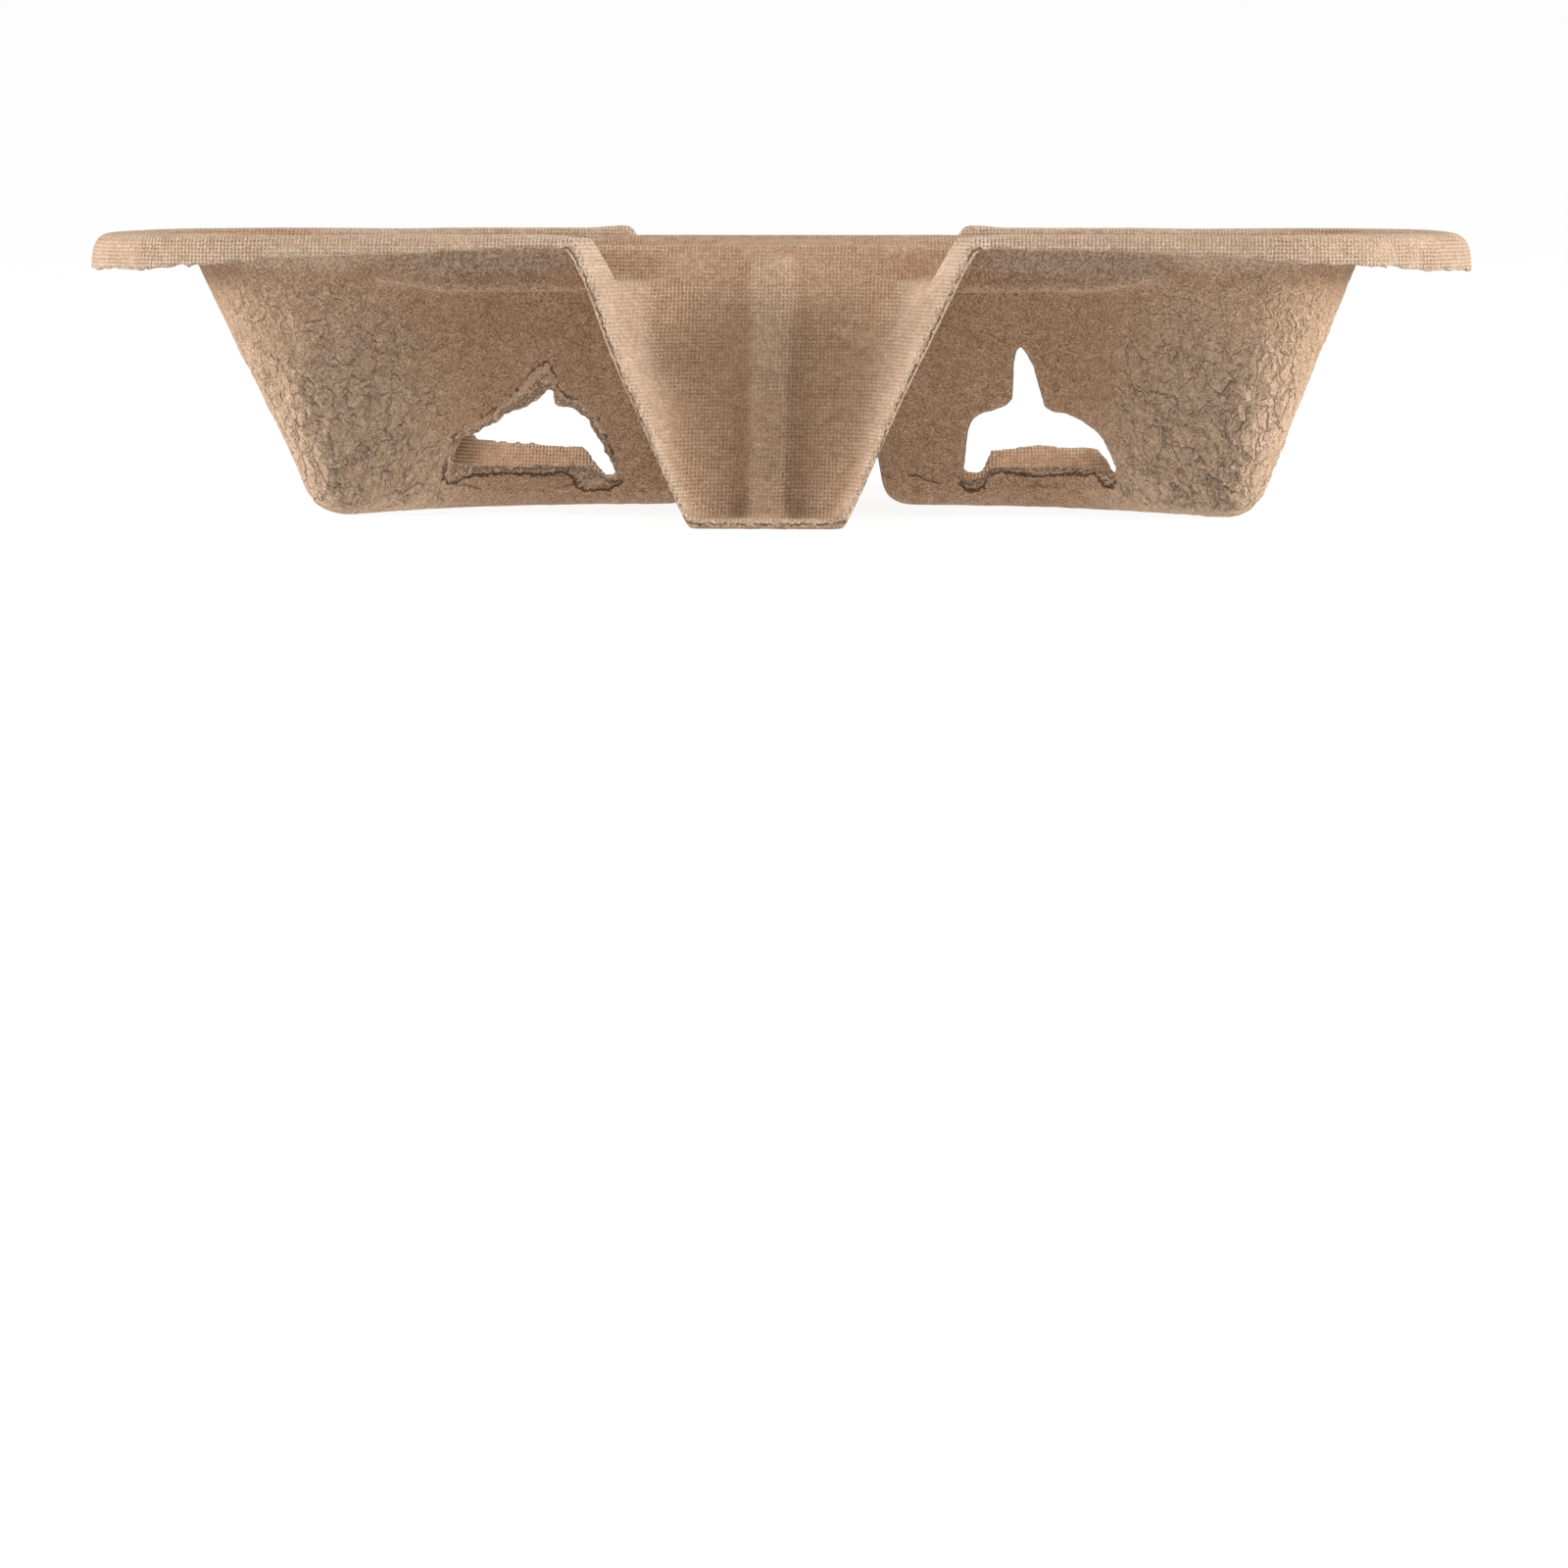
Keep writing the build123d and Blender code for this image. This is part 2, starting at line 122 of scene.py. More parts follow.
def noise(x, y, z, seed):
    """Smooth value noise, about -1 to 1."""
    x, y, z = np.broadcast_arrays(np.asarray(x, float), np.asarray(y, float), np.asarray(z, float))
    fx, fy, fz = np.floor(x), np.floor(y), np.floor(z)
    ix, iy, iz = fx.astype(np.int64), fy.astype(np.int64), fz.astype(np.int64)
    ux, uy, uz = x - fx, y - fy, z - fz
    ux, uy, uz = (u * u * u * (u * (u * 6 - 15) + 10) for u in (ux, uy, uz))
    out = 0.0
    for dx in (0, 1):
        wx = ux if dx else 1 - ux
        for dy in (0, 1):
            wy = uy if dy else 1 - uy
            for dz in (0, 1):
                wz = uz if dz else 1 - uz
                out = out + wx * wy * wz * lattice(ix + dx, iy + dy, iz + dz, seed)
    return out


def fbm(x, y, z, seed, octaves=3):
    out, amp, f = 0.0, 1.0, 1.0
    for o in range(octaves):
        out = out + amp * noise(x * f, y * f, z * f, seed + 17 * o)
        amp *= 0.5
        f *= 2.03
    return out / 1.6


def smax(a, b, k):
    """Largest of two fields, with the edge between them rounded."""
    return np.maximum(a, b) + np.maximum(k - np.abs(a - b), 0.0) ** 2 / (4.0 * k)


def smin(a, b, k):
    return -smax(-a, -b, k)


def step(a, b, x):
    t = np.clip((x - a) / (b - a), 0.0, 1.0)
    return t * t * (3.0 - 2.0 * t)


# ------------------------------------------------------------- plane distances
def spline(points, n):
    """A smooth line through the points; both ends lie on the axis of symmetry."""
    p = np.array(points, float)
    q = np.vstack([p[1] * [1, -1], p, p[-2] * [1, -1]])
    out = []
    for i in range(1, len(q) - 2):
        a, b, c, d = q[i - 1:i + 3]
        for t in np.arange(n) / n:
            out.append(0.5 * (2 * b + (c - a) * t + (2 * a - 5 * b + 4 * c - d) * t * t
                              + (3 * b - a - 3 * c + d) * t ** 3))
    out.append(q[-2])
    return np.array(out)


def outline_distance(points, x, y, closed):
    """Distance to a line of points, negative inside it."""
    pts = list(map(tuple, points))
    n = len(pts)
    best = np.full(x.shape, 1e9)
    inside = np.zeros(x.shape, bool)
    ring = pts if closed else pts + [(pts[-1][0], -9.0), (pts[0][0], -9.0)]
    for i in range(len(ring)):
        ax, ay = ring[i]
        bx, by = ring[(i + 1) % len(ring)]
        if closed or i < n - 1:
            ex, ey = bx - ax, by - ay
            t = np.clip(((x - ax) * ex + (y - ay) * ey) / (ex * ex + ey * ey), 0.0, 1.0)
            best = np.minimum(best, (x - ax - t * ex) ** 2 + (y - ay - t * ey) ** 2)
        if ay != by:
            inside ^= ((ay > y) != (by > y)) & (x < (bx - ax) * (y - ay) / (by - ay) + ax)
    d = np.sqrt(best)
    return np.where(inside, -d, d)


def rim_distance(x, y):
    """Distance to the rim's outer outline, for x and y not negative."""
    ecx = HALF_L - END_R
    ccy = HALF_W - CORNER_R
    ccx = ecx + math.sqrt((END_R - CORNER_R) ** 2 - ccy ** 2)
    ux, uy = (ccx - ecx) / (END_R - CORNER_R), ccy / (END_R - CORNER_R)
    a, b = x - ccx, y - ccy
    flat = np.maximum(y - HALF_W, np.hypot(x - ecx, y) - END_R)
    corner = np.hypot(a, b) - CORNER_R
    return np.where((a > 0) & (ux * b - uy * a > 0), corner, flat)


# ---------------------------------------------------------------------- fields
H = 0.47
NX, NY = int(109.4 / H), int(61.8 / H)
Z0 = -1.6
NZ = int((45.2 - Z0) / H) + 1
qx = np.arange(NX + 1) * H
qy = np.arange(NY + 1) * H
gz = Z0 + np.arange(NZ) * H
QX, QY, QZ = np.meshgrid(qx, qy, gz, indexing="ij")

# pockets: the outline changes evenly from the floor to the rim
up, low = spline(UPPER, 4), spline(LOWER, 4)
px, py = QX[:, :, 0], QY[:, :, 0]
pocket = np.empty(QX.shape)
for k, z in enumerate(gz):
    f = (z - SHEET) / (REF_Z - SHEET)
    pocket[:, :, k] = outline_distance(low + (up - low) * f, px, py, False)
slope = np.gradient(pocket, H, axis=2)
pocket /= np.sqrt(1.0 + slope ** 2)
void_pocket = smax(pocket, SHEET - QZ, 4.4)

# rim and the land inside it
rim = rim_distance(px, py)[:, :, None]
lean = (QZ - 37.7) * 0.15
block = smax((rim + lean) * 0.989, QZ - RIM_TOP, 3.0)
void_land = smax((rim + LAND_IN), LAND_Z - QZ, 1.0)

# shelves beside the flaps; their inner wall runs out on to the flap's panel
shelf_in = 34.2 + 1.5 * np.clip((RIM_TOP - QZ) / 7.1, 0.0, 1.0) + 2.4 * step(21.5, 8.5, QX)
void_shelf = smax(smax(np.abs(QX - 31.5) - 26.5, smax(shelf_in - QY, QY - 47.6, 1.0), 3.0),
                  SHELF_Z + 1.2 * step(48.0, 57.0, QX) - QZ, 1.4)

# bridge between the pockets
sy = np.array([p[0] for p in SADDLE], float)
sz = np.array([p[1] for p in SADDLE], float)
fine = np.linspace(0, 44, 441)
prof = np.interp(fine, sy, sz)
ker = np.hanning(25)
ker /= ker.sum()
prof = np.convolve(np.concatenate([prof[12:0:-1], prof, np.full(12, prof[-1])]), ker, "valid")
sad = np.interp(qy, fine, prof)
sad_slope = np.gradient(sad, H)
void_saddle = ((sad - 0.0)[None, :, None] - QZ) / np.sqrt(1 + sad_slope ** 2)[None, :, None]
void_saddle = smax(smax(void_saddle, QY - 35.6, 0.8), QX - 46.0, 1.0)

# rooms outside the two flaps
t = (QZ - SHEET) / (RIM_TOP - SHEET)
panel_y = FOOT_Y + (FLAP_TOP_Y - FOOT_Y) * t
panel_c = 1.0 / math.hypot(1.0, (FOOT_Y - FLAP_TOP_Y) / (RIM_TOP - SHEET))
panel = (panel_y - QY) * panel_c
rib = step(4.4, 1.9, QX) * step(41.6, 38.6, QZ)
panel = panel + (1.35 - 0.45 * step(8.0, 36.0, QZ)) * rib
wide = FLAP_LOW_W + (FLAP_TOP_W - FLAP_LOW_W) * t
cheek_w = CHEEK_LOW + (CHEEK_TOP - CHEEK_LOW) * t
cheek = QX - (wide + (cheek_w - wide) * (QY - panel_y) / (CHEEK_Y - panel_y))
gy = np.gradient(cheek, H, axis=1)
gzz = np.gradient(cheek, H, axis=2)
cheek = cheek / np.sqrt(1.0 + gy ** 2 + gzz ** 2)
void_flap = smax(smax(panel, cheek, 7.5), SHEET - QZ, 1.6)


def upper_face(b):
    p = smax(b, -void_land, 1.0)
    p = smax(p, -void_pocket, 2.6)
    p = smax(p, -void_shelf, 1.1)
    p = smax(p, -void_saddle, 1.0)
    return smax(p, -void_flap, 1.0)


plain_top = QZ - RIM_TOP
mix_b = step(33.6, 30.2, QX)
face = upper_face(block) * (1.0 - mix_b) + upper_face(plain_top) * mix_b

# from one quarter to the whole carrier
mx = np.abs(np.arange(-NX, NX + 1))
my = np.abs(np.arange(-NY, NY + 1))


def whole(q):
    return q[mx][:, my].astype(np.float32)


gx = np.arange(-NX, NX + 1) * H
gyy = np.arange(-NY, NY + 1) * H
P = whole(face)
RIM = whole(rim)
X2, Y2 = np.meshgrid(gx, gyy, indexing="ij")
Z3 = gz[None, None, :].astype(np.float32)

g = np.abs(P + SHEET / 2) - SHEET / 2

# trimmed, fibrous lower edge of the rim
ends = step(60, 98, np.abs(X2))
rag = ((0.30 + 0.50 * ends) * fbm(X2 / 2.2, Y2 / 2.2, 0.3, 5, 4) + 0.25 * noise(X2 / 11, Y2 / 11, 0.7, 6)
       + 0.26 * ends * noise(X2 / 1.1, Y2 / 1.1, 0.2, 7))
z_trim = np.interp(np.abs(X2), [p[0] for p in TRIM], [p[1] for p in TRIM]) + rag
cut = np.minimum(np.minimum((z_trim[:, :, None] - Z3), RIM + 3.2),
                 (np.abs(X2) - 31.4)[:, :, None] - 0.5 * (Z3 - 41.3))
g = smax(g, cut.astype(np.float32), 0.5)

# the leaning cut along each flap
XZ, ZX = np.meshgrid(gx, gz, indexing="ij")
for side, seed in ((-1, 11), (1, 12)):
    wob = 0.28 * fbm(XZ / 5.0, 0.5, ZX / 5.0, seed, 3) + 0.12 * noise(XZ / 0.9, 0.5, ZX / 0.9, seed + 3)
    edge = (side * Y2)[:, :, None] - (FOOT_END - FLAP_LEAN * Z3 - 0.25 + wob[:, None, :])
    edge = np.minimum(edge / 1.008, (33.8 - np.abs(X2))[:, :, None])
    g = smax(g, edge.astype(np.float32), 0.5)

# torn relief slits
for n, (name, side, ring, tear, r) in enumerate(WALL_SLITS):
    i0, i1 = np.searchsorted(gx, (min(p[0] for p in ring) - 5, max(p[0] for p in ring) + 5))
    j0, j1 = np.searchsorted(gyy, (-46.0, -6.0) if side < 0 else (6.0, 46.0))
    x, z = np.meshgrid(gx[i0:i1], gz, indexing="ij")
    rough = 0.55 * fbm(x / 2.0, 0.4, z / 2.0, 40 + n, 3) + 0.3 * noise(x / 0.8, 0.2, z / 0.8, 60 + n)
    sub = g[i0:i1, j0:j1]
    d = outline_distance(ring, x, z, True) + r * rough
    sub = smax(sub, -d[:, None, :].astype(np.float32), 0.4)
    torn = outline_distance(tear, x, z, True) + 0.45 * rough if tear else d - 0.9
    u = np.clip(d / np.maximum(d - torn, 0.05), 0.0, 1.0)
    thick = 0.46 + 0.20 * u + 0.34 * step(0.70, 1.0, u)
    ply = P[i0:i1, j0:j1] + SHEET * thick[:, None, :]
    g[i0:i1, j0:j1] = smax(sub, np.minimum(-torn[:, None, :], -ply).astype(np.float32), 0.25)
for n, (name, ring) in enumerate(END_SLITS):
    p = np.array(ring)
    i0, i1 = np.searchsorted(gx, (p[:, 0].min() - 4, p[:, 0].max() + 4))
    j0, j1 = np.searchsorted(gyy, (p[:, 1].min() - 4, p[:, 1].max() + 4))
    x, y = X2[i0:i1, j0:j1], Y2[i0:i1, j0:j1]
    d = outline_distance(ring, x, y, True) + 0.3 * fbm(x / 2.0, y / 2.0, 0.4, 50 + n, 3)
    hole = np.minimum(-d[:, :, None], np.minimum(Z3 - 2.3, 34.5 - Z3))
    g[i0:i1, j0:j1] = smax(g[i0:i1, j0:j1], hole.astype(np.float32), 0.6)
g = g.astype(np.float32)


# --------------------------------------------------------------------- meshing
def surface(values):
    """One vertex per cell that the surface crosses, one quad per crossed edge."""
    neg = values < 0
    cells = np.zeros(tuple(n - 1 for n in values.shape), np.uint8)
    corner = [(a, b, c) for a in (0, 1) for b in (0, 1) for c in (0, 1)]
    nx, ny, nz = cells.shape
    for a, b, c in corner:
        cells += neg[a:a + nx, b:b + ny, c:c + nz]
    live = (cells > 0) & (cells < 8)
    i, j, k = np.nonzero(live)
    index = np.full(cells.shape, -1, np.int64)
    index[live] = np.arange(len(i))
    total = np.zeros((len(i), 3))
    count = np.zeros(len(i))
    for a in corner:
        for axis in range(3):
            if a[axis]:
                continue
            b = list(a)
            b[axis] = 1
            va = values[i + a[0], j + a[1], k + a[2]].astype(float)
            vb = values[i + b[0], j + b[1], k + b[2]].astype(float)
            m = (va < 0) != (vb < 0)
            w = np.where(m, va / np.where(m, va - vb, 1.0), 0.0)
            pos = np.array(a, float)[None] + np.eye(3)[axis][None] * w[:, None]
            total[m] += pos[m]
            count[m] += 1
    verts = total / count[:, None] + np.stack([i, j, k], 1)
    faces = []
    for axis in range(3):
        u, v = (axis + 1) % 3, (axis + 2) % 3
        sl0 = [slice(1, -1)] * 3
        sl1 = [slice(1, -1)] * 3
        sl0[axis] = slice(0, -1)
        sl1[axis] = slice(1, None)
        s0, s1 = neg[tuple(sl0)], neg[tuple(sl1)]
        for flip, m in ((False, s0 & ~s1), (True, ~s0 & s1)):
            e = np.stack(np.nonzero(m), 1)
            e[:, u] += 1
            e[:, v] += 1
            quad = []
            for du, dv in ((-1, -1), (0, -1), (0, 0), (-1, 0)):
                q = e.copy()
                q[:, u] += du
                q[:, v] += dv
                quad.append(index[q[:, 0], q[:, 1], q[:, 2]])
            quad = np.stack(quad, 1)
            faces.append(quad[:, ::-1] if flip else quad)
    return verts, np.concatenate(faces)


def sample(values, p):
    """Field values at points (mm), by linear interpolation."""
    q = np.stack([p[:, 0] / H + NX, p[:, 1] / H + NY, (p[:, 2] - Z0) / H], 1)
    q = np.clip(q, 0, np.array(values.shape) - 1.001)
    b = np.floor(q).astype(int)
    f = q - b
    out = 0.0
    for dx in (0, 1):
        for dy in (0, 1):
            for dz in (0, 1):
                w = ((f[:, 0] if dx else 1 - f[:, 0]) * (f[:, 1] if dy else 1 - f[:, 1])
                     * (f[:, 2] if dz else 1 - f[:, 2]))
                out = out + w * values[b[:, 0] + dx, b[:, 1] + dy, b[:, 2] + dz]
    return out


def normals(v, f):
    a, b = v[f[:, 2]] - v[f[:, 0]], v[f[:, 3]] - v[f[:, 1]]
    fn = np.cross(a, b)
    out = np.zeros_like(v)
    for c in range(3):
        for k in range(4):
            out[:, c] += np.bincount(f[:, k], fn[:, c], len(v))
    return out / np.maximum(np.linalg.norm(out, axis=1), 1e-9)[:, None]


def relax(v, f, w):
    """Each vertex a little towards the middle of its neighbours."""
    total = np.zeros_like(v)
    count = np.zeros(len(v))
    for k in range(4):
        a, b = f[:, k], f[:, (k + 1) % 4]
        for c in range(3):
            total[:, c] += np.bincount(a, v[b, c], len(v)) + np.bincount(b, v[a, c], len(v))
        count += np.bincount(a, minlength=len(v)) + np.bincount(b, minlength=len(v))
    return v + w * (total / np.maximum(count, 1)[:, None] - v)


verts, quads = surface(g)

# only the largest connected piece is kept
label = np.arange(len(verts))
while True:
    low_l = label[quads].min(1)
    new = label.copy()
    for k in range(4):
        np.minimum.at(new, quads[:, k], low_l)
    new = new[new]
    if np.array_equal(new, label):
        break
    label = new
main = np.bincount(label[quads[:, 0]]).argmax()
quads = quads[label[quads[:, 0]] == main]
used = np.zeros(len(verts), bool)
used[quads] = True
renum = np.cumsum(used) - 1
verts, quads = verts[used], renum[quads]

verts = verts * H + np.array([-NX * H, -NY * H, Z0])
for w in (0.55, -0.57, 0.5, -0.52):
    verts = relax(verts, quads, w)


# ------------------------------------------------- uneven drying of the sheet
def worley(x, y, z, seed):
    """Distances to the two nearest of the points scattered one to a cell."""
    ix, iy, iz = (np.floor(c).astype(np.int64) for c in (x, y, z))
    f1 = np.full(x.shape, 9.0)
    f2 = np.full(x.shape, 9.0)
    for dx in (-1, 0, 1):
        for dy in (-1, 0, 1):
            for dz in (-1, 0, 1):
                a, b, c = ix + dx, iy + dy, iz + dz
                d = np.sqrt((a + 0.5 + 0.45 * lattice(a, b, c, seed) - x) ** 2
                            + (b + 0.5 + 0.45 * lattice(a, b, c, seed + 1) - y) ** 2
                            + (c + 0.5 + 0.45 * lattice(a, b, c, seed + 2) - z) ** 2)
                f2 = np.minimum(f2, np.maximum(f1, d))
                f1 = np.minimum(f1, d)
    return f1, f2


def lobe_mask(v):
    """Where the wall is drawn deepest, and dries most crumpled."""
    ax, ay, z = np.abs(v[:, 0]), np.abs(v[:, 1]), v[:, 2]
    m = step(43, 61, ax) * step(10, 22, ay) * step(42, 31, z)
    low = step(44, 58, ax) * step(12, 20, ay) * step(24, 9, z)
    return np.maximum(m * (0.52 + 0.48 * step(34, 14, z)), low)


def features(v):
    """Depth in the sheet, and how far each point is on the felt, a cut or a lobe."""
    p = sample(P, v)
    depth = np.clip(-p / SHEET, 0.0, 1.0)
    felt = step(0.55, 0.88, depth)
    cut_edge = np.clip(1.0 - felt - step(0.45, 0.12, depth), 0, 1)
    return depth, felt, cut_edge, lobe_mask(v)


def slit_fields(v):
    """Distance on the wall to the nearest slit, and to the edge of its tear."""
    near = np.full(len(v), 9.0)
    torn = np.full(len(v), 9.0)
    for name, side, ring, tear, r in WALL_SLITS:
        p = np.array(ring)
        i = np.flatnonzero((side * v[:, 1] > 5) & (v[:, 0] > p[:, 0].min() - 9)
                           & (v[:, 0] < p[:, 0].max() + 9) & (v[:, 2] < p[:, 1].max() + 9))
        d = outline_distance(ring, v[i, 0], v[i, 2], True)
        near[i] = np.minimum(near[i], d)
        torn[i] = np.minimum(torn[i], outline_distance(tear, v[i, 0], v[i, 2], True) if tear else d - 0.9)
    return near, torn


nrm = normals(verts, quads)
depth, felt, cut_edge, lobe = features(verts)
slit, tear_at = slit_fields(verts)
bulge = -np.einsum("ij,ij->i", relax(verts, quads, 1.0) - verts, nrm)
bulge = relax(relax(np.repeat(bulge[:, None], 3, 1), quads, 0.6), quads, 0.6)[:, 0]
# curvature of the sheet, kept for a painted highlight on its outer edges
convex_highlight = step(0.008, 0.040, bulge)
x, y, z = verts.T
front = step(6, -20, y)
heavy = (0.35 + 0.65 * front) * (0.8 + 0.2 * step(-20, 20, x))
crumple = lobe * (1.0 - 0.80 * step(0.66, 0.94, np.abs(nrm[:, 2]))) * (1.0 - 0.45 * step(0.62, 0.92, np.abs(nrm[:, 0])))
crumple = crumple * (0.45 + 0.55 * front)
move = -0.05 * np.abs(fbm(x / 2.6, y / 2.6, z / 2.6, 215, 2)) * (1 - felt)
move -= felt * (0.10 * np.abs(fbm(x / 6.0, y / 6.0, z / 6.0, 210, 3)) + 0.06 * np.abs(fbm(x / 1.9, y / 1.9, z / 2.6, 211, 2)))
on = np.flatnonzero((lobe * felt) > 0.02)
lx, ly, lz = x[on], y[on], z[on]
wa = 0.9 * fbm(lx / 4.0, ly / 4.0, lz / 4.0, 220, 2)
wb = 0.9 * fbm(lx / 4.0, ly / 4.0, lz / 4.0, 221, 2)
tilt = 0.35 * np.sign(lx) * lz
f1, f2 = worley((lx + tilt) / 3.4 + wa, ly / 3.4 + wb, lz / 8.0 + 0.5 * wa, 230)
crease = 1.0 - step(0.0, 0.30, f2 - f1)
f1b, f2b = worley((lx + tilt) / 1.6 + wb, ly / 1.6 + wa, lz / 3.2, 240)
fine_crease = 1.0 - step(0.0, 0.36, f2b - f1b)
f1c, f2c = worley((lx + tilt) / 4.2 + 1.4 * wb, ly / 4.2 + 1.4 * wa, lz / 9.0 + 0.6 * wb, 260)
ridge = 1.0 - step(0.0, 0.15, f2c - f1c)
part = step(-0.45, 0.10, fbm(lx / 6.0, ly / 6.0, lz / 9.0, 250, 2))
raised = step(-0.35, 0.10, fbm(lx / 5.0, ly / 5.0, lz / 8.0, 255, 2))
dent = np.maximum(noise(lx / 3.4, ly / 3.4, lz / 8.0, 201) - 0.1, 0.0)
amount = crumple[on] * heavy[on] * felt[on]
move[on] += amount * (0.46 * ridge * raised - 0.30 * crease * (0.15 + 0.85 * part) - 0.26 * dent)
# how dark the creases of the lobes are painted: painted shade
crease_shade = np.zeros(len(verts))
crease_shade[on] = amount * np.clip(0.9 * crease * part + 0.2 * fine_crease - 0.7 * ridge * raised, 0, 1)
# how pale the ridges of the lobes are painted: painted highlight
ridge_highlight = np.zeros(len(verts))
ridge_highlight[on] = amount * ridge * raised
verts = verts + nrm * move[:, None]
verts[:, 2] += 0.42 * np.tanh(y / 16.0) * step(36.0, 29.0, np.abs(x)) * step(36.0, 41.0, z)
verts[:, 0] += 2.4 * step(-50.0, -69.0, x) * step(6.0, -16.0, y) * step(40.0, 4.0, z)
flap_side = step(-36.0, -44.0, y) * step(48.0, 38.0, np.abs(x)) * step(6.0, 10.0, np.abs(x))
verts[:, 0] += flap_side * np.where(x < 0, 1.5 * step(20.0, 40.0, z) - 0.6 * step(20.0, 2.0, z), 0.8 * step(20.0, 2.0, z))
verts[:, 0] += 1.9 * step(42.0, 17.0, x) * (x > 9.0) * step(25.0, 2.0, z) * step(30.0, 22.0, np.abs(y))
verts[:, 2] = np.maximum(verts[:, 2], 0.0)


# ------------------------------------------------------------------ the object
def make_mesh(name, v, f):
    me = bpy.data.meshes.new(name)
    me.vertices.add(len(v))
    me.vertices.foreach_set("co", (v / 1000.0).astype(np.float32).ravel())
    me.loops.add(f.size)
    me.loops.foreach_set("vertex_index", f.astype(np.int32).ravel())
    me.polygons.add(len(f))
    me.polygons.foreach_set("loop_start", (np.arange(len(f)) * f.shape[1]).astype(np.int32))
    me.polygons.foreach_set("loop_total", np.full(len(f), f.shape[1], np.int32))
    me.update(calc_edges=True)
    me.validate()
    return me


rim_at = sample(np.broadcast_to(RIM, P.shape), verts)
band = step(-7.5, -5.0, rim_at) * step(36.0, 38.5, verts[:, 2])
raw_mesh = make_mesh("raw_sheet", verts, quads)
for name, values in (("felt", felt), ("cut_edge", cut_edge), ("lobe", lobe), ("band", band), ("depth", depth),
                     ("slit", slit), ("tear", tear_at), ("crease_shade", crease_shade), ("ridge_highlight", ridge_highlight),
                     ("convex_highlight", convex_highlight), ("crumple", crumple)):
    at = raw_mesh.attributes.new(name, "FLOAT", "POINT")
    at.data.foreach_set("value", values.astype(np.float32))
raw = bpy.data.objects.new("raw_sheet", raw_mesh)
bpy.context.scene.collection.objects.link(raw)
dec = raw.modifiers.new("reduce", "DECIMATE")
dec.ratio = min(1.0, 194000.0 / (2.0 * len(quads)))
dg = bpy.context.evaluated_depsgraph_get()
body_mesh = bpy.data.meshes.new_from_object(raw.evaluated_get(dg))
bpy.data.objects.remove(raw)
body_mesh.name = "pulp_carrier"
body = bpy.data.objects.new("pulp_carrier", body_mesh)
bpy.context.scene.collection.objects.link(body)
body_mesh.polygons.foreach_set("use_smooth", np.ones(len(body_mesh.polygons), bool))
print("attributes", [a.name for a in body_mesh.attributes])
print("triangles", sum(len(p.vertices) - 2 for p in body_mesh.polygons), "from quads", len(quads))


# -------------------------------------------------------------------- material
class Nodes:
    def __init__(self, tree):
        self.t = tree
        self.n = tree.nodes
        self.l = tree.links

    def put(self, socket, value):
        if isinstance(value, bpy.types.NodeSocket):
            self.l.new(value, socket)
        elif value is not None:
            socket.default_value = value

    def math(self, op, a, b=None, c=None):
        n = self.n.new("ShaderNodeMath")
        n.operation = op
        for s, v in zip(n.inputs, (a, b, c)):
            self.put(s, v)
        return n.outputs[0]

    def vec(self, op, a, b=None):
        n = self.n.new("ShaderNodeVectorMath")
        n.operation = op
        self.put(n.inputs[0], a)
        if b is not None:
            self.put(n.inputs[1], b)
        return n.outputs[0]

    def noise(self, vector, scale, detail=2.0, rough=0.5, distort=0.0):
        n = self.n.new("ShaderNodeTexNoise")
        self.put(n.inputs["Vector"], vector)
        n.inputs["Scale"].default_value = scale
        n.inputs["Detail"].default_value = detail
        n.inputs["Roughness"].default_value = rough
        n.inputs["Distortion"].default_value = distort
        return n.outputs

    def voronoi(self, vector, scale, feature="F1", rand=1.0):
        n = self.n.new("ShaderNodeTexVoronoi")
        n.feature = feature
        self.put(n.inputs["Vector"], vector)
        n.inputs["Scale"].default_value = scale
        n.inputs["Randomness"].default_value = rand
        return n.outputs

    def map(self, vector, rotation=(0, 0, 0), scale=(1, 1, 1), location=(0, 0, 0)):
        n = self.n.new("ShaderNodeMapping")
        self.put(n.inputs["Vector"], vector)
        n.inputs["Rotation"].default_value = rotation
        n.inputs["Scale"].default_value = scale
        n.inputs["Location"].default_value = location
        return n.outputs[0]

    def ramp(self, value, a, b, lo=0.0, hi=1.0):
        n = self.n.new("ShaderNodeMapRange")
        n.interpolation_type = "SMOOTHSTEP"
        self.put(n.inputs["Value"], value)
        n.inputs["From Min"].default_value = a
        n.inputs["From Max"].default_value = b
        n.inputs["To Min"].default_value = lo
        n.inputs["To Max"].default_value = hi
        return n.outputs["Result"]

    def mix(self, f, a, b, blend="MIX"):
        n = self.n.new("ShaderNodeMix")
        n.data_type = "RGBA"
        n.blend_type = blend
        self.put(n.inputs["Factor"], f)
        self.put(n.inputs["A"] if False else n.inputs[6], a)
        self.put(n.inputs[7], b)
        return n.outputs[2]

    def attr(self, name):
        n = self.n.new("ShaderNodeAttribute")
        n.attribute_name = name
        return n.outputs["Fac"]


